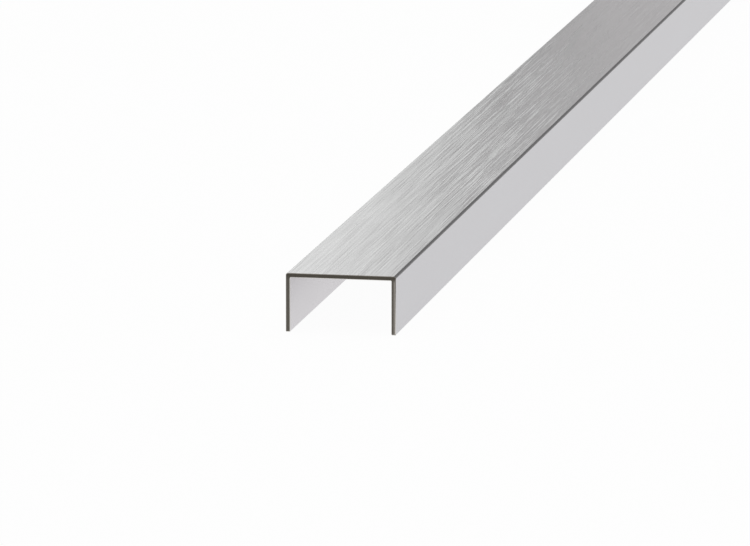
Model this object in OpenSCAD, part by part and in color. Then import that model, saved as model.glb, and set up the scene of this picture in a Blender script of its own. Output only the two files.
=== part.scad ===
// Thin-walled aluminium U-channel, extruded in one piece and sawn square at both ends.
// It lies open side down on its two flange tips: the bar runs along Y, the web is on top,
// and the origin is under the middle of the bar, on the plane that the tips stand on.

/* [Bar] */
// Length of the bar between its sawn ends
bar_length = 1000; // [200:1:3000]

/* [Section] */
// Outside width across both flanges
outer_width = 30; // [15:0.5:80]
// Outside height from the flange tips to the top of the web
outer_height = 16; // [8:0.5:60]
// Wall thickness of the web and of both flanges
wall = 1.2; // [0.8:0.05:3]

/* [Edges] */
// Radius of the outside corners between the web and the flanges
corner_radius = 0.6; // [0.2:0.05:1.5]
// Radius of the inside corners under the web
root_radius = 0.3; // [0.1:0.05:2]
// Radius on both edges of each flange tip
tip_radius = 0.25; // [0.05:0.05:0.4]
// Leg of the deburring bevel on every edge of the sawn ends
end_bevel = 0.15; // [0.05:0.05:0.35]

/* [Hidden] */
$fn = 48;
groove_width = outer_width - 2 * wall;
groove_depth = outer_height - wall;
half_bar = bar_length / 2;
// How far a cutting shape reaches past the surface that it cuts
overcut = 1;

// What rounding takes off a square corner that has its point at the origin and fills the first quadrant
module corner_waste(radius) {
    difference() {
        translate([-overcut, -overcut]) square(radius + overcut);
        translate([radius, radius]) circle(radius);
    }
}

// Rectangle that stands on the X axis, with its two upper corners rounded
module round_topped(width, height, radius) {
    difference() {
        translate([-width / 2, 0]) square([width, height]);
        for (side = [0, 1])
            mirror([side, 0]) translate([width / 2, height]) rotate(180) corner_waste(radius);
    }
}

// Cross-section of the channel, with the bar's X to the right and its Z upwards
module channel_section() {
    difference() {
        round_topped(outer_width, outer_height, corner_radius);
        translate([0, -overcut]) round_topped(groove_width, groove_depth + overcut, root_radius);
        for (side = [0, 1]) mirror([side, 0]) {
            translate([groove_width / 2, 0]) corner_waste(tip_radius);
            translate([outer_width / 2, 0]) mirror([1, 0]) corner_waste(tip_radius);
        }
    }
}

// Runs a cross-section along the bar, over its whole length
module along_bar() {
    rotate([90, 0, 0]) linear_extrude(bar_length, center = true) children();
}

// Runs a side view, drawn with the bar's Y to the right and its Z upwards, across the bar
module across_bar() {
    rotate([90, 0, 90]) linear_extrude(outer_width + 2 * overcut, center = true) children();
}

// Runs a plan view up through the bar
module up_through_bar() {
    translate([0, 0, -overcut]) linear_extrude(outer_height + 2 * overcut) children();
}

// Bevels on the outside edges of both ends: along the web and the tips, and up both flanges
module outside_bevels() {
    for (y = [-half_bar, half_bar]) {
        across_bar()
            for (z = [0, outer_height]) translate([y, z]) circle(end_bevel, $fn = 4);
        up_through_bar()
            for (x = [-outer_width / 2, outer_width / 2]) translate([x, y]) circle(end_bevel, $fn = 4);
    }
}

// Bevel on the groove's edges at the end towards -Y: a mouth that narrows to the groove's own size
module groove_mouth() {
    y_outside = -half_bar - end_bevel;
    y_inside = -half_bar + end_bevel;
    narrow = groove_width / 2;
    wide = narrow + 2 * end_bevel;
    intersection() {
        up_through_bar()
            polygon([[-wide, y_outside], [wide, y_outside], [narrow, y_inside], [-narrow, y_inside]]);
        across_bar()
            polygon([[y_outside, -overcut], [y_inside, -overcut],
                     [y_inside, groove_depth], [y_outside, groove_depth + 2 * end_bevel]]);
    }
}

module u_channel() {
    color("silver")
        difference() {
            along_bar() channel_section();
            outside_bevels();
            for (turn = [0, 180]) rotate(turn) groove_mouth();
        }
}

u_channel();
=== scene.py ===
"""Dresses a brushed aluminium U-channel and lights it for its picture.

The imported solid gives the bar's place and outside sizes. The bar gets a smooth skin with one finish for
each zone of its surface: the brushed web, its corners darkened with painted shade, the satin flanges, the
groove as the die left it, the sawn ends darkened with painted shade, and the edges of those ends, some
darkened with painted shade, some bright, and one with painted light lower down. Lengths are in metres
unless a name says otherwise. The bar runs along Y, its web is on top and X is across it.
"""

import logging
import math
from dataclasses import dataclass
from enum import IntEnum

import bpy
import numpy as np
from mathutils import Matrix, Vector

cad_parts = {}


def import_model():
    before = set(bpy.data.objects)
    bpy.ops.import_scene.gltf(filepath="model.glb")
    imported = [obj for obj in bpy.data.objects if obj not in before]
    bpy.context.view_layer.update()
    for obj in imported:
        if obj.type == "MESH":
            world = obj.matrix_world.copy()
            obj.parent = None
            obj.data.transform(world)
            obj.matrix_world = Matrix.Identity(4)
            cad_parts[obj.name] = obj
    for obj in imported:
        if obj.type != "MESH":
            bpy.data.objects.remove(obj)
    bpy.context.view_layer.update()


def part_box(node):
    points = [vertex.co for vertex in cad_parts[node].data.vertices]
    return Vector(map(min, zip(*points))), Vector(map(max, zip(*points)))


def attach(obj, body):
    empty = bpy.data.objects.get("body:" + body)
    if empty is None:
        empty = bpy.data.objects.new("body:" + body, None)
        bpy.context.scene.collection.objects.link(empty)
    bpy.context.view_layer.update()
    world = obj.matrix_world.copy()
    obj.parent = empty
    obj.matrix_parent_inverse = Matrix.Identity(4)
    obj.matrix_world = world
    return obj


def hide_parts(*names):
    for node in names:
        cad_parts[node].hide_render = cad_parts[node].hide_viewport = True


LOG = logging.getLogger("u_channel")
MM = 0.001
NODE = "u_channel"
# A Mix node has one set of sockets for each kind of data, so the ones for colours go by number
MIX_A, MIX_B, MIX_RESULT = 6, 7, 2


class Zone(IntEnum):
    """Stretches of the skin that differ in finish, numbered as the mesh's material slots."""

    WEB = 0
    CORNER = 1
    FLANGE = 2
    GROOVE = 3
    SAWN = 4
    DULL_EDGE = 5
    BRIGHT_EDGE = 6
    RUBBED_EDGE = 7


class Bend(IntEnum):
    """Rounded corners of the section, in the order in which its outline passes them."""

    RIGHT_TIP = 0
    RIGHT_CORNER = 1
    LEFT_CORNER = 2
    LEFT_TIP = 3
    LEFT_TIP_INSIDE = 4
    LEFT_ROOT = 5
    RIGHT_ROOT = 6
    RIGHT_TIP_INSIDE = 7


def linear(hex_colour: str) -> tuple[float, float, float, float]:
    """Turns an sRGB colour into the linear colour that a shader takes.

    The standard's curve is a straight line of slope 1 / 12.92 up to 0.04045, and a power of 2.4 above it.

    Args:
        hex_colour: Colour such as "#C9C8CB".

    Returns:
        Linear red, green and blue, and an alpha of 1.
    """
    srgb = np.array([int(hex_colour[i : i + 2], 16) for i in (1, 3, 5)]) / 255
    rgb = np.where(srgb <= 0.04045, srgb / 12.92, ((srgb + 0.055) / 1.055) ** 2.4)
    return (*rgb.tolist(), 1.0)


def add_object(name: str, data: bpy.types.ID) -> bpy.types.Object:
    """Puts a mesh, a lamp or a camera into the scene, at the origin.

    Args:
        name: Name of the object.
        data: What the object shows.

    Returns:
        The new object.
    """
    made = bpy.data.objects.new(name, data)
    bpy.context.scene.collection.objects.link(made)
    return made


def empty_material(name: str) -> bpy.types.Material:
    """Makes a material whose nodes are still to come.

    Args:
        name: Name of the material.

    Returns:
        New material with an empty node tree.
    """
    made = bpy.data.materials.new(name)
    made.use_nodes = True
    made.node_tree.nodes.clear()
    return made


def add_node(
    tree: bpy.types.NodeTree,
    kind: str,
    settings: dict[str, object] | None = None,
    inputs: dict[str | int, object] | None = None,
) -> bpy.types.Node:
    """Adds one shader node, with its settings and what goes into its sockets.

    Args:
        tree: Node tree that gets the node.
        kind: Type of node, without its ShaderNode prefix.
        settings: Properties of the node by name.
        inputs: Values, or sockets to link from, by the name or number of the input.

    Returns:
        The new node.
    """
    node = tree.nodes.new("ShaderNode" + kind)
    for name, value in (settings or {}).items():
        setattr(node, name, value)
    for name, value in (inputs or {}).items():
        if isinstance(value, bpy.types.NodeSocket):
            tree.links.new(value, node.inputs[name])
        else:
            node.inputs[name].default_value = value
    return node


def place_on_object(tree: bpy.types.NodeTree) -> bpy.types.Node:
    """Tells where on the object a spot is: X across the bar, Y along it and Z up.

    Args:
        tree: Node tree that gets the nodes.

    Returns:
        Node with the outputs X, Y and Z, in metres.
    """
    place = add_node(tree, "TexCoord").outputs["Object"]
    return add_node(tree, "SeparateXYZ", inputs={"Vector": place})


def noise_cells(
    tree: bpy.types.NodeTree, cell_mm: tuple[float, float, float], finer_layers: float
) -> bpy.types.NodeSocket:
    """Lays soft noise over the object, with cells of a real size.

    The noise changes about once for every unit, so the place on the object is divided by a cell's size.

    Args:
        tree: Node tree that gets the pattern.
        cell_mm: Size of a cell across, along and up the bar, in millimetres.
        finer_layers: How many finer layers are added, each half as large as the one before.

    Returns:
        Socket with the pattern, from 0 to 1 and about 0.5 on average.
    """
    place = add_node(tree, "TexCoord").outputs["Object"]
    scale = [1 / (size * MM) for size in cell_mm]
    cells = add_node(tree, "Mapping", inputs={"Vector": place, "Scale": scale}).outputs["Vector"]
    noise = add_node(tree, "TexNoise", inputs={"Vector": cells, "Scale": 1.0, "Detail": finer_layers})
    return noise.outputs["Fac"]


@dataclass(frozen=True)
class Scratches:
    """Straight scratches of one size along the bar, as a brush leaves them, in narrow columns."""

    width_mm: float
    length_mm: float
    # Share of its length over which a scratch fades in, and out again
    taper: float = 0.25
    # Columns are moved sideways by up to this many widths, on waves this many widths long, so that
    # their widths differ
    sideways: float = 0.6
    wave_widths: float = 1.4
    # Metal that a scratch pushes out lies beside it, so this share of the next one's height counts
    # against its own
    pushed_share: float = 0.4

    def height(
        self, tree: bpy.types.NodeTree, across: bpy.types.NodeSocket, along: bpy.types.NodeSocket
    ) -> bpy.types.NodeSocket:
        """Works out how high the scratch at a place stands.

        The column is the whole number below the place across. Each column is shifted along by a random
        share of a length, and the scratch is the whole number below the shifted place. It has a random
        height, from -1 to 1, that fades to 0 at both of its ends.

        Args:
            tree: Node tree that gets the pattern.
            across: Socket with the place across the bar, in widths.
            along: Socket with the place along the bar, in lengths.

        Returns:
            Socket with the height.
        """
        column = add_node(tree, "Math", {"operation": "FLOOR"}, {0: across}).outputs["Value"]
        shift = add_node(tree, "TexWhiteNoise", {"noise_dimensions": "1D"}, {"W": column})
        shifted = add_node(
            tree, "Math", {"operation": "ADD"}, {0: along, 1: shift.outputs["Value"]}
        ).outputs["Value"]
        row = add_node(tree, "Math", {"operation": "FLOOR"}, {0: shifted}).outputs["Value"]
        spot = add_node(tree, "CombineXYZ", inputs={"X": column, "Y": row}).outputs["Vector"]
        chance = add_node(tree, "TexWhiteNoise", {"noise_dimensions": "2D"}, {"Vector": spot})
        peak = add_node(
            tree, "MapRange", inputs={"Value": chance.outputs["Value"], "To Min": -1.0}
        ).outputs["Result"]
        # The distance from the nearer end goes up and down between 0 and half a length
        half_length = 0.5
        from_end = add_node(tree, "Math", {"operation": "PINGPONG"}, {0: shifted, 1: half_length})
        fade = add_node(
            tree,
            "MapRange",
            {"interpolation_type": "SMOOTHSTEP"},
            {"Value": from_end.outputs["Value"], "From Max": self.taper},
        )
        height = add_node(
            tree, "Math", {"operation": "MULTIPLY"}, {0: peak, 1: fade.outputs["Result"]}
        )
        return height.outputs["Value"]

    def tilt(self, tree: bpy.types.NodeTree) -> bpy.types.NodeSocket:
        """Works out which way the surface is tilted: a scratch's height less a share of the next one's.

        Args:
            tree: Node tree that gets the pattern.

        Returns:
            Socket with the tilt, mostly from -1 to 1 and 0 on average.
        """
        place = add_node(tree, "TexCoord").outputs["Object"]
        scale = (1 / (self.width_mm * MM), 1 / (self.length_mm * MM), 0.0)
        cells = add_node(tree, "Mapping", inputs={"Vector": place, "Scale": scale}).outputs["Vector"]
        spots = add_node(tree, "SeparateXYZ", inputs={"Vector": cells}).outputs
        waves = add_node(
            tree,
            "TexNoise",
            {"noise_dimensions": "1D"},
            {"W": spots["X"], "Scale": 1 / self.wave_widths},
        )
        across = add_node(
            tree,
            "Math",
            {"operation": "MULTIPLY_ADD"},
            {0: waves.outputs["Fac"], 1: self.sideways, 2: spots["X"]},
        ).outputs["Value"]
        beside = add_node(tree, "Math", {"operation": "ADD"}, {0: across, 1: 1.0}).outputs["Value"]
        own = self.height(tree, across, spots["Y"])
        next_one = self.height(tree, beside, spots["Y"])
        tilt = add_node(
            tree, "Math", {"operation": "MULTIPLY_ADD"}, {0: next_one, 1: -self.pushed_share, 2: own}
        )
        return tilt.outputs["Value"]


@dataclass(frozen=True)
class Finish:
    """Finish of one zone: a metal with a colour that varies between two close tones."""

    name: str
    dark: str
    light: str
    roughness: float

    def material(self) -> bpy.types.Material:
        """Makes the material of this finish.

        Returns:
            New material with the finish's own nodes.
        """
        made = empty_material(self.name)
        tree = made.node_tree
        add_node(tree, "OutputMaterial", inputs={"Surface": self.surface(tree)})
        return made

    def tone(self, tree: bpy.types.NodeTree, share: bpy.types.NodeSocket) -> bpy.types.NodeSocket:
        """Mixes the finish's two tones.

        Args:
            tree: Node tree of the material.
            share: Socket with the share of the light tone.

        Returns:
            Socket with the colour.
        """
        tones = {"Factor": share, MIX_A: linear(self.dark), MIX_B: linear(self.light)}
        return add_node(tree, "Mix", {"data_type": "RGBA"}, tones).outputs[MIX_RESULT]

    def uneven_roughness(
        self, tree: bpy.types.NodeTree, pattern: bpy.types.NodeSocket, swing: float
    ) -> bpy.types.NodeSocket:
        """Varies the roughness about the finish's own, while a pattern goes from 0 to 1.

        Args:
            tree: Node tree of the material.
            pattern: Socket with the pattern.
            swing: Share of the roughness that comes off where the pattern is 0, and is added where it is 1.

        Returns:
            Socket with the roughness.
        """
        low, high = self.roughness * (1 - swing), self.roughness * (1 + swing)
        rough = add_node(tree, "MapRange", inputs={"Value": pattern, "To Min": low, "To Max": high})
        return rough.outputs["Result"]

    def surface(self, tree: bpy.types.NodeTree) -> bpy.types.NodeSocket:
        """Adds the nodes of the finish, which each kind of finish has its own way to do."""
        raise NotImplementedError


@dataclass(frozen=True)
class BrushedFinish(Finish):
    """Aluminium brushed along the bar and anodised clear.

    The eye gets short straight streaks, light and dark, along the bar. Each is a shallow scratch that
    tilts the reflection sideways, so they show most where a reflection ends, and a highlight spreads
    across the bar.
    """

    streaks: Scratches = Scratches(0.32, 35.0)
    # Real hairlines are some 0.05 mm wide. They are drawn coarser, so that a close view shows them
    hairlines: Scratches = Scratches(0.12, 28.0)
    hairline_share: float = 0.8
    # How far a scratch tilts the surface, which grows away from the end towards -Y. The brush pressed
    # harder towards +X, so the growth is further on there: one millimetre across the bar counts as this
    # many along it
    tilt_degrees: tuple[float, float] = (4.4, 19.5)
    steeper_from_mm: tuple[float, float] = (-400.0, -140.0)
    slant: float = 5.6
    roughness_swing: float = 0.05
    anisotropy: float = 0.2

    def surface(self, tree: bpy.types.NodeTree) -> bpy.types.NodeSocket:
        """Adds the streaked metal.

        The tilt of the surface is that of the streaks plus a share of that of the finer hairlines. The
        hairlines vary the tone and the roughness too.

        Args:
            tree: Node tree of the material.

        Returns:
            Socket with the shader.
        """
        hairlines = self.hairlines.tilt(tree)
        scratched = add_node(
            tree,
            "Math",
            {"operation": "MULTIPLY_ADD"},
            {0: hairlines, 1: self.hairline_share, 2: self.streaks.tilt(tree)},
        )
        place = place_on_object(tree).outputs
        growth = add_node(
            tree, "Math", {"operation": "MULTIPLY_ADD"}, {0: place["X"], 1: self.slant, 2: place["Y"]}
        )
        most = add_node(
            tree,
            "MapRange",
            inputs={
                "Value": growth.outputs["Value"],
                "From Min": self.steeper_from_mm[0] * MM,
                "From Max": self.steeper_from_mm[1] * MM,
                "To Min": math.radians(self.tilt_degrees[0]),
                "To Max": math.radians(self.tilt_degrees[1]),
            },
        )
        tilt = add_node(
            tree,
            "Math",
            {"operation": "MULTIPLY"},
            {0: scratched.outputs["Value"], 1: most.outputs["Result"]},
        )
        sideways = add_node(tree, "CombineXYZ", inputs={"X": tilt.outputs["Value"]})
        tilted = add_node(
            tree,
            "VectorMath",
            {"operation": "ADD"},
            {0: add_node(tree, "NewGeometry").outputs["Normal"], 1: sideways.outputs["Vector"]},
        )
        normal = add_node(tree, "VectorMath", {"operation": "NORMALIZE"}, {0: tilted.outputs["Vector"]})
        lit_side = add_node(
            tree, "MapRange", inputs={"Value": hairlines, "From Min": -1.0}
        ).outputs["Result"]
        # Scratches along the bar spread the reflection round the section, which is round the Y axis
        around = add_node(tree, "Tangent", {"direction_type": "RADIAL", "axis": "Y"})
        metal = add_node(
            tree,
            "BsdfPrincipled",
            inputs={
                "Base Color": self.tone(tree, lit_side),
                "Metallic": 1.0,
                "Roughness": self.uneven_roughness(tree, lit_side, self.roughness_swing),
                "Anisotropic": self.anisotropy,
                "Normal": normal.outputs["Vector"],
                "Tangent": around.outputs["Tangent"],
            },
        )
        return metal.outputs["BSDF"]


@dataclass(frozen=True)
class SatinFinish(Finish):
    """Extruded aluminium, etched and anodised clear.

    The eye gets an even, silky grey with faint clouds, and faint lines along the bar where the die drew
    the metal.
    """

    cloud_mm: tuple[float, float, float] = (9.0, 60.0, 9.0)
    cloud_layers: float = 2.0
    # Real die lines are finer than 0.1 mm, and are drawn coarser so that they show
    die_line_mm: tuple[float, float, float] = (0.6, 400.0, 0.6)
    die_line_layers: float = 1.0
    die_line_depth_mm: float = 0.012
    roughness_swing: float = 0.1

    def surface(self, tree: bpy.types.NodeTree) -> bpy.types.NodeSocket:
        """Adds the clouded metal with its die lines.

        Args:
            tree: Node tree of the material.

        Returns:
            Socket with the shader.
        """
        clouds = noise_cells(tree, self.cloud_mm, self.cloud_layers)
        lines = noise_cells(tree, self.die_line_mm, self.die_line_layers)
        bump = add_node(
            tree, "Bump", inputs={"Distance": self.die_line_depth_mm * MM, "Height": lines}
        )
        metal = add_node(
            tree,
            "BsdfPrincipled",
            inputs={
                "Base Color": self.tone(tree, clouds),
                "Metallic": 1.0,
                "Roughness": self.uneven_roughness(tree, clouds, self.roughness_swing),
                "Normal": bump.outputs["Normal"],
            },
        )
        return metal.outputs["BSDF"]


@dataclass(frozen=True)
class SawnFinish(Finish):
    """Aluminium as the saw left it.

    The eye gets a dark, dull face, crossed by the arcs that the teeth left. Its dark tones are painted
    shade.
    """

    # Painted highlight on the outer half of the end of the flange towards +X
    painted_highlight: str = "#9C9791"
    blade_radius_mm: float = 125.0
    # The real feed of each tooth is near 0.05 mm, and the arcs are drawn coarser so that they show
    tooth_feed_mm: float = 0.35
    tooth_depth_mm: float = 0.02
    # How far the arcs wander, and how many finer layers their wandering has
    wander: float = 1.5
    wander_layers: float = 1.0
    grit_mm: tuple[float, float, float] = (0.25, 0.25, 0.25)
    grit_layers: float = 2.0
    # The painted shade of the cut is darkest across the web, and the outer half of the flange towards +X has
    # a painted highlight
    web_from_mm: tuple[float, float] = (14.2, 15.2)
    painted_highlight_from_mm: tuple[float, float] = (14.2, 14.8)
    # Share of the light tone: what there is without grit, what full grit adds, and what the flanges have
    # more than the web
    bare_share: float = -0.1
    grit_share: float = 0.6
    flange_share: float = 0.5

    def surface(self, tree: bpy.types.NodeTree) -> bpy.types.NodeSocket:
        """Adds the saw marks.

        The marks are rings round the blade's axle, one for each tooth. The axle is straight above the bar.
        A ring pattern of scale 1 repeats every pi / 10 units, so its scale is pi / 10 over the feed.

        Args:
            tree: Node tree of the material.

        Returns:
            Socket with the shader.
        """
        axle_shift = (0.0, 0.0, -self.blade_radius_mm * MM)
        from_axle = add_node(
            tree,
            "Mapping",
            inputs={"Vector": add_node(tree, "TexCoord").outputs["Object"], "Location": axle_shift},
        )
        marks = add_node(
            tree,
            "TexWave",
            {"wave_type": "RINGS", "rings_direction": "Y"},
            {
                "Vector": from_axle.outputs["Vector"],
                "Scale": math.pi / 10 / (self.tooth_feed_mm * MM),
                "Distortion": self.wander,
                "Detail": self.wander_layers,
            },
        )
        grit = noise_cells(tree, self.grit_mm, self.grit_layers)
        relief = add_node(tree, "Math", {"operation": "ADD"}, {0: marks.outputs["Fac"], 1: grit})
        place = place_on_object(tree).outputs
        below_web = add_node(
            tree,
            "MapRange",
            inputs={
                "Value": place["Z"],
                "From Min": self.web_from_mm[1] * MM,
                "From Max": self.web_from_mm[0] * MM,
            },
        ).outputs["Result"]
        outer_half = add_node(
            tree,
            "MapRange",
            inputs={
                "Value": place["X"],
                "From Min": self.painted_highlight_from_mm[0] * MM,
                "From Max": self.painted_highlight_from_mm[1] * MM,
            },
        ).outputs["Result"]
        painted_highlight = add_node(tree, "Math", {"operation": "MULTIPLY"}, {0: below_web, 1: outer_half})
        gritty = add_node(
            tree, "Math", {"operation": "MULTIPLY_ADD"}, {0: grit, 1: self.grit_share, 2: self.bare_share}
        )
        light = add_node(
            tree,
            "Math",
            {"operation": "MULTIPLY_ADD"},
            {0: below_web, 1: self.flange_share, 2: gritty.outputs["Value"]},
        )
        # The cut's dark tones are painted shade
        cut = self.tone(tree, light.outputs["Value"])
        # Lays the painted highlight over the outer half of the flange towards +X
        colour = add_node(
            tree,
            "Mix",
            {"data_type": "RGBA"},
            {"Factor": painted_highlight.outputs["Value"], MIX_A: cut, MIX_B: linear(self.painted_highlight)},
        )
        bump = add_node(
            tree,
            "Bump",
            inputs={"Distance": self.tooth_depth_mm * MM, "Height": relief.outputs["Value"]},
        )
        metal = add_node(
            tree,
            "BsdfPrincipled",
            inputs={
                "Base Color": colour.outputs[MIX_RESULT],
                "Metallic": 1.0,
                "Roughness": self.roughness,
                "Normal": bump.outputs["Normal"],
            },
        )
        return metal.outputs["BSDF"]


@dataclass(frozen=True)
class WornAndShadedFinish(Finish):
    """Aluminium along an edge, in two close tones that vary a little along its length.

    The eye gets one thin line. Where its tones are dark, on the rounded corners and on the dull edges of
    the sawn ends, they are painted shade.
    """

    rub_mm: tuple[float, float, float] = (0.4, 18.0, 0.4)
    rub_layers: float = 2.0
    roughness_swing: float = 0.2

    def light_share(self, tree: bpy.types.NodeTree, rubs: bpy.types.NodeSocket) -> bpy.types.NodeSocket:
        """Tells how much of the light tone there is, which is just how hard the edge was rubbed."""
        return rubs

    def surface(self, tree: bpy.types.NodeTree) -> bpy.types.NodeSocket:
        """Adds the rubbed metal.

        Args:
            tree: Node tree of the material.

        Returns:
            Socket with the shader.
        """
        rubs = noise_cells(tree, self.rub_mm, self.rub_layers)
        metal = add_node(
            tree,
            "BsdfPrincipled",
            inputs={
                "Base Color": self.tone(tree, self.light_share(tree, rubs)),
                "Metallic": 1.0,
                "Roughness": self.uneven_roughness(tree, rubs, self.roughness_swing),
            },
        )
        return metal.outputs["BSDF"]


@dataclass(frozen=True)
class GradedFinish(WornAndShadedFinish):
    """Aluminium along an upright edge, lighter towards the tip that the bar stands on.

    The eye gets a line that is dull at the top and turns bright on the way down: painted shade at the
    top, and painted light from the floor lower down.
    """

    # Heights at which the edge is all dull and all bright, in painted shade and painted light
    bright_from_mm: tuple[float, float] = (12.5, 0.5)
    rub_share: float = 0.3

    def light_share(self, tree: bpy.types.NodeTree, rubs: bpy.types.NodeSocket) -> bpy.types.NodeSocket:
        """Tells how much of the light tone there is.

        It is more on the way down, which is painted light, plus a share of the rubs about their mean.

        Args:
            tree: Node tree of the material.
            rubs: Socket with how hard the edge was rubbed, about 0.5 on average.

        Returns:
            Socket with the share of the light tone.
        """
        lower_down = add_node(
            tree,
            "MapRange",
            inputs={
                "Value": place_on_object(tree).outputs["Z"],
                "From Min": self.bright_from_mm[0] * MM,
                "From Max": self.bright_from_mm[1] * MM,
                "To Min": -self.rub_share / 2,
                "To Max": 1 - self.rub_share / 2,
            },
        )
        light = add_node(
            tree,
            "Math",
            {"operation": "MULTIPLY_ADD"},
            {0: rubs, 1: self.rub_share, 2: lower_down.outputs["Result"]},
        )
        return light.outputs["Value"]


# Size of the marks that a file leaves on the edges of a sawn end
FILE_MARK_MM = (0.5, 0.5, 0.5)
FINISHES: dict[Zone, Finish] = {
    Zone.WEB: BrushedFinish("brushed_anodised_aluminium", "#C6C2C4", "#D0CCCE", 0.295),
    # The corners' dark tones are painted shade, for the dark line that a rounded corner shows
    Zone.CORNER: WornAndShadedFinish("corner_aluminium_painted_shade", "#575557", "#656364", 0.38),
    Zone.FLANGE: SatinFinish("satin_anodised_aluminium", "#C0BFC2", "#CBCACD", 0.38),
    Zone.GROOVE: SatinFinish("extruded_aluminium", "#C7C4C7", "#CFCCCF", 0.31),
    # The sawn ends' dark tones are painted shade
    Zone.SAWN: SawnFinish("sawn_aluminium_painted_shade", "#4B4740", "#6C6861", 0.5),
    # The dull edges' dark tones are painted shade
    Zone.DULL_EDGE: WornAndShadedFinish("edge_aluminium_painted_shade", "#6E6963", "#827D76", 0.35, FILE_MARK_MM),
    Zone.BRIGHT_EDGE: WornAndShadedFinish("deburred_aluminium", "#CAC7C2", "#D8D5D0", 0.3, FILE_MARK_MM),
    # This edge's tones go from painted shade at the top to painted light lower down
    Zone.RUBBED_EDGE: GradedFinish("edge_painted_light_towards_tip", "#6E6963", "#D8D5D0", 0.35, FILE_MARK_MM),
}


@dataclass(frozen=True)
class Section:
    """Cross-section of the channel, with X to the right and Z upwards, open at the bottom."""

    width: float
    height: float
    wall: float = 1.2 * MM
    corner_radius: float = 0.6 * MM
    root_radius: float = 0.3 * MM
    tip_radius: float = 0.25 * MM
    arc_steps: int = 6

    def outline(self) -> tuple[np.ndarray, np.ndarray]:
        """Works out the closed outline, anticlockwise as the end towards -Y is seen.

        It has eight corners, each a quarter arc, in the order of Bend. With a the direction into a corner,
        b the direction out of it and r its radius, the arc's centre is corner + r (b - a), and a point of
        it is centre + r (a sin t - b cos t) while t goes from 0 to 90 degrees. The bracket is the outward
        normal too, or its opposite at an inside root, where the outline turns right.

        Returns:
            Points and unit normals, each as an array of X and Z with one row per point.
        """
        half, inner = self.width / 2, self.width / 2 - self.wall
        top, ceiling = self.height, self.height - self.wall
        right = np.array([[half, 0.0], [half, top], [inner, ceiling], [inner, 0.0]])
        left = right[::-1] * (-1, 1)
        corners = np.concatenate([right[:2], left[2:], left[:2], right[2:]])
        tip, outer, root = self.tip_radius, self.corner_radius, self.root_radius
        radii = np.array([tip, outer, outer, tip, tip, root, root, tip])[:, None, None]

        into = corners - np.roll(corners, 1, axis=0)
        into /= np.linalg.norm(into, axis=1, keepdims=True)
        out = np.roll(into, -1, axis=0)
        turn = np.sign(into[:, 0] * out[:, 1] - into[:, 1] * out[:, 0])[:, None, None]
        angle = np.linspace(0, math.pi / 2, self.arc_steps + 1)[None, :, None]
        a, b = into[:, None, :], out[:, None, :]
        spoke = a * np.sin(angle) - b * np.cos(angle)
        points = corners[:, None, :] + radii * (b - a) + radii * spoke
        return points.reshape(-1, 2), (turn * spoke).reshape(-1, 2)

    def zones(self) -> np.ndarray:
        """Tells which zone each stretch of the outline is in, from its point to the next.

        Returns:
            One zone number per point. The web lies between the two upper corners, and the brush just rolls
            over its edge towards -X. The rest of those corners has a dark tone, which is painted shade, and
            the inside is as the die left it.
        """
        last = self.arc_steps
        stretch = np.full((len(Bend), last + 1), Zone.FLANGE)
        stretch[Bend.RIGHT_CORNER : Bend.LEFT_TIP, :last] = Zone.CORNER
        stretch[Bend.RIGHT_CORNER, last] = Zone.WEB
        stretch[Bend.LEFT_CORNER, 0] = Zone.WEB
        stretch[Bend.LEFT_TIP_INSIDE : Bend.RIGHT_TIP_INSIDE] = Zone.GROOVE
        return stretch.ravel()

    def edge_zones(self) -> np.ndarray:
        """Tells the same for the bevel that goes round the section at a sawn end.

        Returns:
            One zone number per point. The outside, up to the left tip, is dark with painted shade, and so is
            the inside of the right flange, but the right flange's outside goes from painted shade at the top
            to painted light lower down. The other inside edges and both tips are bright.
        """
        last = self.arc_steps
        stretch = np.full((len(Bend), last + 1), Zone.BRIGHT_EDGE)
        stretch[: Bend.LEFT_TIP_INSIDE] = Zone.DULL_EDGE
        stretch[Bend.RIGHT_TIP, last] = Zone.RUBBED_EDGE
        stretch[Bend.LEFT_TIP, last] = Zone.BRIGHT_EDGE
        stretch[Bend.RIGHT_ROOT, last] = Zone.DULL_EDGE
        return stretch.ravel()


@dataclass(frozen=True)
class SkinMap:
    """Where the skin lies on its map, as shares of the map's sides.

    The bar's length goes up the map, and the way round the section goes across it.
    """

    side_margin: float = 0.004
    cap: tuple[float, float] = (0.006, 0.028)
    bevel_start: float = 0.036
    skin_start: float = 0.05


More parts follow.
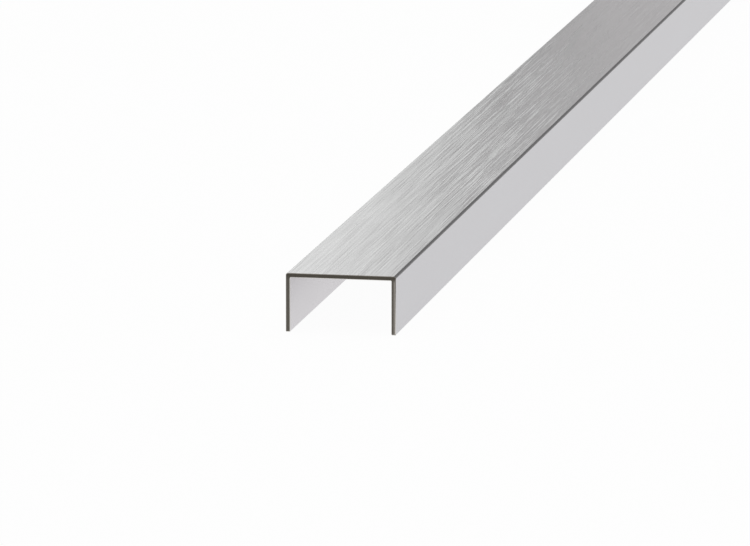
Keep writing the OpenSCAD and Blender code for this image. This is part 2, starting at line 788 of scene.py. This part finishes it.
@dataclass
class ChannelBar:
    """The whole bar: its section carried along Y, with a deburring bevel and a sawn face at each end."""

    low: Vector
    high: Vector
    end_bevel: float = 0.15 * MM
    ring_gap: float = 20 * MM
    layout: SkinMap = SkinMap()

    def __post_init__(self) -> None:
        """Works out the section and the rings along the bar from the solid's box."""
        size = self.high - self.low
        self.section = Section(size.x, size.z)
        self.points, self.normals = self.section.outline()
        rings = round(size.y / self.ring_gap) + 1
        skin = np.linspace(self.low.y + self.end_bevel, self.high.y - self.end_bevel, rings)
        self.stations = np.concatenate([[self.low.y], skin, [self.high.y]])

    def vertices(self) -> np.ndarray:
        """Places the section at each station.

        The first and last ring are drawn in along the section's normals by the bevel, and the others are
        whole.

        Returns:
            Array of ring, point and XYZ.
        """
        inset = np.zeros(len(self.stations))
        inset[[0, -1]] = self.end_bevel
        rings = self.points[None] - inset[:, None, None] * self.normals[None]
        along = np.broadcast_to(self.stations[:, None], rings.shape[:2])
        return np.stack([rings[..., 0], along, rings[..., 1]], axis=-1)

    def faces(self) -> np.ndarray:
        """Joins the vertices into quads.

        Each ring is joined to the next all the way round. A sawn face is a ribbon of quads between the outer
        half of its ring and the inner half, because point k from the start lies across the wall from point
        k from the end.

        Returns:
            Array of quads, with the skin first, then the near sawn face and the far one.
        """
        rings, count = len(self.stations), len(self.points)
        ring, point = np.meshgrid(np.arange(rings - 1), np.arange(count), indexing="ij")
        beside = (point + 1) % count
        row, row_above = ring * count, (ring + 1) * count
        skin = np.stack([row + point, row_above + point, row_above + beside, row + beside], axis=-1)
        k = np.arange(count // 2 - 1)
        near = np.stack([k, k + 1, count - 2 - k, count - 1 - k], axis=-1)
        far = near[:, ::-1] + (rings - 1) * count
        return np.concatenate([skin.reshape(-1, 4), near, far])

    def face_zones(self) -> np.ndarray:
        """Tells the zone of each face, in the order of faces().

        Returns:
            One zone number per face.
        """
        skin = np.tile(self.section.zones(), (len(self.stations) - 1, 1))
        skin[[0, -1]] = self.section.edge_zones()
        caps = np.full(2 * (len(self.points) // 2 - 1), Zone.SAWN)
        return np.concatenate([skin.ravel(), caps])

    def corner_normals(self) -> np.ndarray:
        """Gives each face's corners their normals, so that arcs shade smoothly and flats stay flat.

        On the skin they are the section's normals. On a bevel they lean halfway towards the end of the bar,
        and a sawn face has the direction of its end.

        Returns:
            Array of unit normals, one per corner of each face.
        """
        rings, count = len(self.stations), len(self.points)
        lean = np.zeros(rings - 1)
        lean[[0, -1]] = -1.0, 1.0
        beside = np.stack([np.arange(count)] * 2 + [(np.arange(count) + 1) % count] * 2, axis=-1)
        flat = np.broadcast_to(self.normals[beside], (rings - 1, count, 4, 2))
        along = np.broadcast_to(lean[:, None, None], flat.shape[:3])
        skin = np.stack([flat[..., 0], along, flat[..., 1]], axis=-1)
        skin = skin / np.linalg.norm(skin, axis=-1, keepdims=True)
        cap = np.zeros((2, count // 2 - 1, 4, 3))
        cap[0, ..., 1], cap[1, ..., 1] = -1.0, 1.0
        return np.concatenate([skin.reshape(-1, 3), cap.reshape(-1, 3)])

    def corner_map(self) -> np.ndarray:
        """Lays the faces out flat, without overlap.

        The skin goes by the distance round the section and the distance along the bar. The two sawn faces
        are straight ribbons below and above it, by the distance round their outer edge.

        Returns:
            Array of U and V, one row per corner of each face.
        """
        lay = self.layout
        closed = np.concatenate([self.points, self.points[:1]])
        walked = np.concatenate([[0.0], np.cumsum(np.linalg.norm(np.diff(closed, axis=0), axis=1))])
        room = 1 - 2 * lay.side_margin
        u = lay.side_margin + room * walked / walked[-1]
        rings, count = len(self.stations), len(self.points)
        skin_v = np.linspace(lay.skin_start, 1 - lay.skin_start, rings - 2)
        v = np.concatenate([[lay.bevel_start], skin_v, [1 - lay.bevel_start]])
        left, right = (np.broadcast_to(edge, (rings - 1, count)) for edge in (u[:-1], u[1:]))
        lower, upper = (np.broadcast_to(edge[:, None], (rings - 1, count)) for edge in (v[:-1], v[1:]))
        skin = np.stack([left, lower, left, upper, right, upper, right, lower], axis=-1)

        half = walked[: count // 2]
        start, end = (lay.side_margin + room * edge / half[-1] for edge in (half[:-1], half[1:]))
        outer, inner = (np.full(len(start), edge) for edge in lay.cap)
        near = np.stack([start, outer, end, outer, end, inner, start, inner], axis=-1)
        far = np.stack([start, 1 - inner, end, 1 - inner, end, 1 - outer, start, 1 - outer], axis=-1)
        return np.concatenate([part.reshape(-1, 2) for part in (skin, near, far)])

    def build(self) -> bpy.types.Object:
        """Makes the bar's mesh and dresses each zone in its finish.

        Returns:
            The bar, at the origin, with its place in its mesh.
        """
        mesh = bpy.data.meshes.new("channel_bar")
        mesh.from_pydata(self.vertices().reshape(-1, 3).tolist(), [], self.faces().tolist())
        for zone in Zone:
            mesh.materials.append(FINISHES[zone].material())
        mesh.polygons.foreach_set("material_index", self.face_zones().astype(np.int32))
        mesh.shade_smooth()
        mesh.normals_split_custom_set(self.corner_normals().tolist())
        skin_map = mesh.uv_layers.new(name="OFBake")
        skin_map.uv.foreach_set("vector", self.corner_map().ravel().astype(np.float32))
        mesh.validate()
        return add_object("channel_bar", mesh)


@dataclass(frozen=True)
class AreaLamp:
    """A flat softbox that shines from its front."""

    name: str
    place: tuple[float, float, float]
    target: tuple[float, float, float]
    size: tuple[float, float]
    # Brightness of its face, where 1 is white
    brightness: float

    def build(self) -> bpy.types.Object:
        """Makes the lamp. Its power is its brightness times pi times its area.

        Returns:
            The lamp, turned to its target and unseen by the camera.
        """
        light = bpy.data.lights.new(self.name, "AREA")
        light.shape = "RECTANGLE"
        light.size, light.size_y = self.size
        light.energy = self.brightness * math.pi * self.size[0] * self.size[1]
        lamp = add_object(self.name, light)
        lamp.location = self.place
        aim = Vector(self.target) - Vector(self.place)
        lamp.rotation_euler = aim.to_track_quat("-Z", "Y").to_euler()
        lamp.visible_camera = False
        return lamp


@dataclass(frozen=True)
class Card:
    """An upright card across the bar, lit from one side, that is there only for the metal to mirror."""

    name: str
    # X of its left and right edge, and the brightness there, where 1 is white
    edges: tuple[float, float]
    brightness: tuple[float, float]
    # Its light is a little cooler than the tint of the metal, so that the web looks neutral where it
    # mirrors a card
    colour: str = "#FBFFFD"
    y: float = 0.27
    height: float = 0.34

    def build(self) -> bpy.types.Object:
        """Makes the card, which stands on the floor. Its brightness changes evenly from edge to edge.

        Returns:
            The card, which casts no shadow and is seen by reflections only.
        """
        left, right = self.edges
        corners = ((left, 0), (right, 0), (right, self.height), (left, self.height))
        mesh = bpy.data.meshes.new(self.name)
        mesh.from_pydata([(x, self.y, z) for x, z in corners], [], [(0, 1, 2, 3)])
        made = empty_material(self.name)
        # The glow only shows, so it isn't sampled as a lamp
        made.cycles.emission_sampling = "NONE"
        tree = made.node_tree
        strength = add_node(
            tree,
            "MapRange",
            inputs={
                "Value": place_on_object(tree).outputs["X"],
                "From Min": left,
                "From Max": right,
                "To Min": self.brightness[0],
                "To Max": self.brightness[1],
            },
        )
        face = add_node(
            tree,
            "Emission",
            inputs={"Color": linear(self.colour), "Strength": strength.outputs["Result"]},
        )
        add_node(tree, "OutputMaterial", inputs={"Surface": face.outputs["Emission"]})
        mesh.materials.append(made)
        card = add_object(self.name, mesh)
        card.visible_camera = card.visible_diffuse = card.visible_shadow = False
        return card


@dataclass(frozen=True)
class Studio:
    """Pale floor, a dome of soft light, a softbox overhead and two cards that the web mirrors."""

    floor_side: float = 80.0
    # The floor lies just under the flange tips
    floor_level: float = -0.02 * MM
    floor_colour: str = "#F4F4F4"
    # Share of the floor that shows as plain white. The rest takes light and shadow
    white_share: float = 0.96
    # Brightness of the dome at the horizon, on its wall and overhead, where 1 is white
    horizon: float = 1.0
    wall: float = 0.55
    zenith: float = 0.85
    # Heights on a dome of radius 1 over which the horizon turns to wall, and the wall to zenith
    wall_from: tuple[float, float] = (0.02, 0.11)
    zenith_from: tuple[float, float] = (0.4, 1.0)
    softbox: AreaLamp = AreaLamp(
        "overhead_softbox", (0.1, -0.6, 1.6), (0.0, -0.4, 0.0), (1.4, 1.4), 0.45
    )
    cards: tuple[Card, ...] = (
        Card("white_card", (-0.245, -0.09), (1.7, 0.64)),
        Card("grey_card", (-0.09, -0.072), (0.34, 0.34)),
    )

    def build_floor(self) -> bpy.types.Object:
        """Makes the floor, white to the camera and to reflections, with the bar's soft shadow.

        Returns:
            The floor.
        """
        half = self.floor_side / 2
        mesh = bpy.data.meshes.new("floor")
        corners = [(x * half, y * half, self.floor_level) for x, y in ((-1, -1), (1, -1), (1, 1), (-1, 1))]
        mesh.from_pydata(corners, [], [(0, 1, 2, 3)])
        made = empty_material("matt_studio_paper")
        # The white glow only shows, so it isn't sampled as a lamp
        made.cycles.emission_sampling = "NONE"
        tree = made.node_tree
        path = add_node(tree, "LightPath").outputs
        mirrored = add_node(
            tree,
            "Math",
            {"operation": "MAXIMUM"},
            {0: path["Is Glossy Ray"], 1: path["Is Transmission Ray"]},
        )
        shown = add_node(
            tree,
            "Math",
            {"operation": "MAXIMUM"},
            {0: path["Is Camera Ray"], 1: mirrored.outputs["Value"]},
        )
        share = add_node(
            tree, "Math", {"operation": "MULTIPLY"}, {0: shown.outputs["Value"], 1: self.white_share}
        )
        paper = add_node(tree, "BsdfDiffuse", inputs={"Color": linear(self.floor_colour)})
        glow = add_node(tree, "Emission")
        mixed = add_node(
            tree,
            "MixShader",
            inputs={0: share.outputs["Value"], 1: paper.outputs["BSDF"], 2: glow.outputs["Emission"]},
        )
        add_node(tree, "OutputMaterial", inputs={"Surface": mixed.outputs["Shader"]})
        mesh.materials.append(made)
        return add_object("floor", mesh)

    def build_dome(self) -> None:
        """Makes the dome: white at the horizon like the floor, greyer above it, and lighter overhead.

        Its brightness goes from the horizon's to the wall's over the first range of heights, and what the
        zenith has more than the wall is added over the second.
        """
        world = bpy.data.worlds.new("studio_dome")
        world.use_nodes = True
        tree = world.node_tree
        tree.nodes.clear()
        way = add_node(tree, "TexCoord").outputs["Generated"]
        up = add_node(tree, "SeparateXYZ", inputs={"Vector": way}).outputs["Z"]
        low_part = add_node(
            tree,
            "MapRange",
            {"interpolation_type": "SMOOTHSTEP"},
            {
                "Value": up,
                "From Min": self.wall_from[0],
                "From Max": self.wall_from[1],
                "To Min": self.horizon,
                "To Max": self.wall,
            },
        )
        high_part = add_node(
            tree,
            "MapRange",
            {"interpolation_type": "SMOOTHSTEP"},
            {
                "Value": up,
                "From Min": self.zenith_from[0],
                "From Max": self.zenith_from[1],
                "To Min": 0.0,
                "To Max": self.zenith - self.wall,
            },
        )
        strength = add_node(
            tree,
            "Math",
            {"operation": "ADD"},
            {0: low_part.outputs["Result"], 1: high_part.outputs["Result"]},
        )
        dome = add_node(
            tree, "Background", inputs={"Color": (1, 1, 1, 1), "Strength": strength.outputs["Value"]}
        )
        add_node(tree, "OutputWorld", inputs={"Surface": dome.outputs["Background"]})
        bpy.context.scene.world = world

    def build(self) -> list[bpy.types.Object]:
        """Makes the floor, the cards, the dome and the softbox.

        Returns:
            The floor, the cards and the softbox.
        """
        stands = [self.build_floor(), *(card.build() for card in self.cards)]
        self.build_dome()
        return [*stands, self.softbox.build()]


@dataclass(frozen=True)
class Viewpoint:
    """Long-lens camera that looks down along the bar from the right of its near end."""

    place: tuple[float, float, float] = (0.3738, -2.4102, 0.3723)
    # How far it is turned left of +Y, and how far it looks down, in degrees
    azimuth: float = 10.802
    elevation: float = 10.359
    lens_mm: float = 355.1
    sensor_mm: float = 36.0
    # Nearest and farthest distance at which it sees things
    sight: tuple[float, float] = (0.05, 200.0)

    def build(self) -> None:
        """Makes the camera and hands it to the scene."""
        data = bpy.data.cameras.new("camera")
        data.lens = self.lens_mm
        data.sensor_width = self.sensor_mm
        data.clip_start, data.clip_end = self.sight
        camera = add_object("camera", data)
        camera.location = self.place
        camera.rotation_euler = (math.radians(90 - self.elevation), 0.0, math.radians(self.azimuth))
        bpy.context.scene.camera = camera


def main() -> None:
    """Builds the camera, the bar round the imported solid, and the studio."""
    logging.basicConfig(level=logging.INFO, format="%(name)s: %(message)s")
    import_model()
    bpy.context.scene.view_settings.view_transform = "Standard"

    Viewpoint().build()
    bar = ChannelBar(*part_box(NODE)).build()
    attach(bar, "root")
    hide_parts(NODE)
    LOG.info("%s: %d faces in %d finishes", bar.name, len(bar.data.polygons), len(bar.data.materials))
    for thing in Studio().build():
        LOG.info("studio: %s", thing.name)


if __name__ == "__main__":
    main()
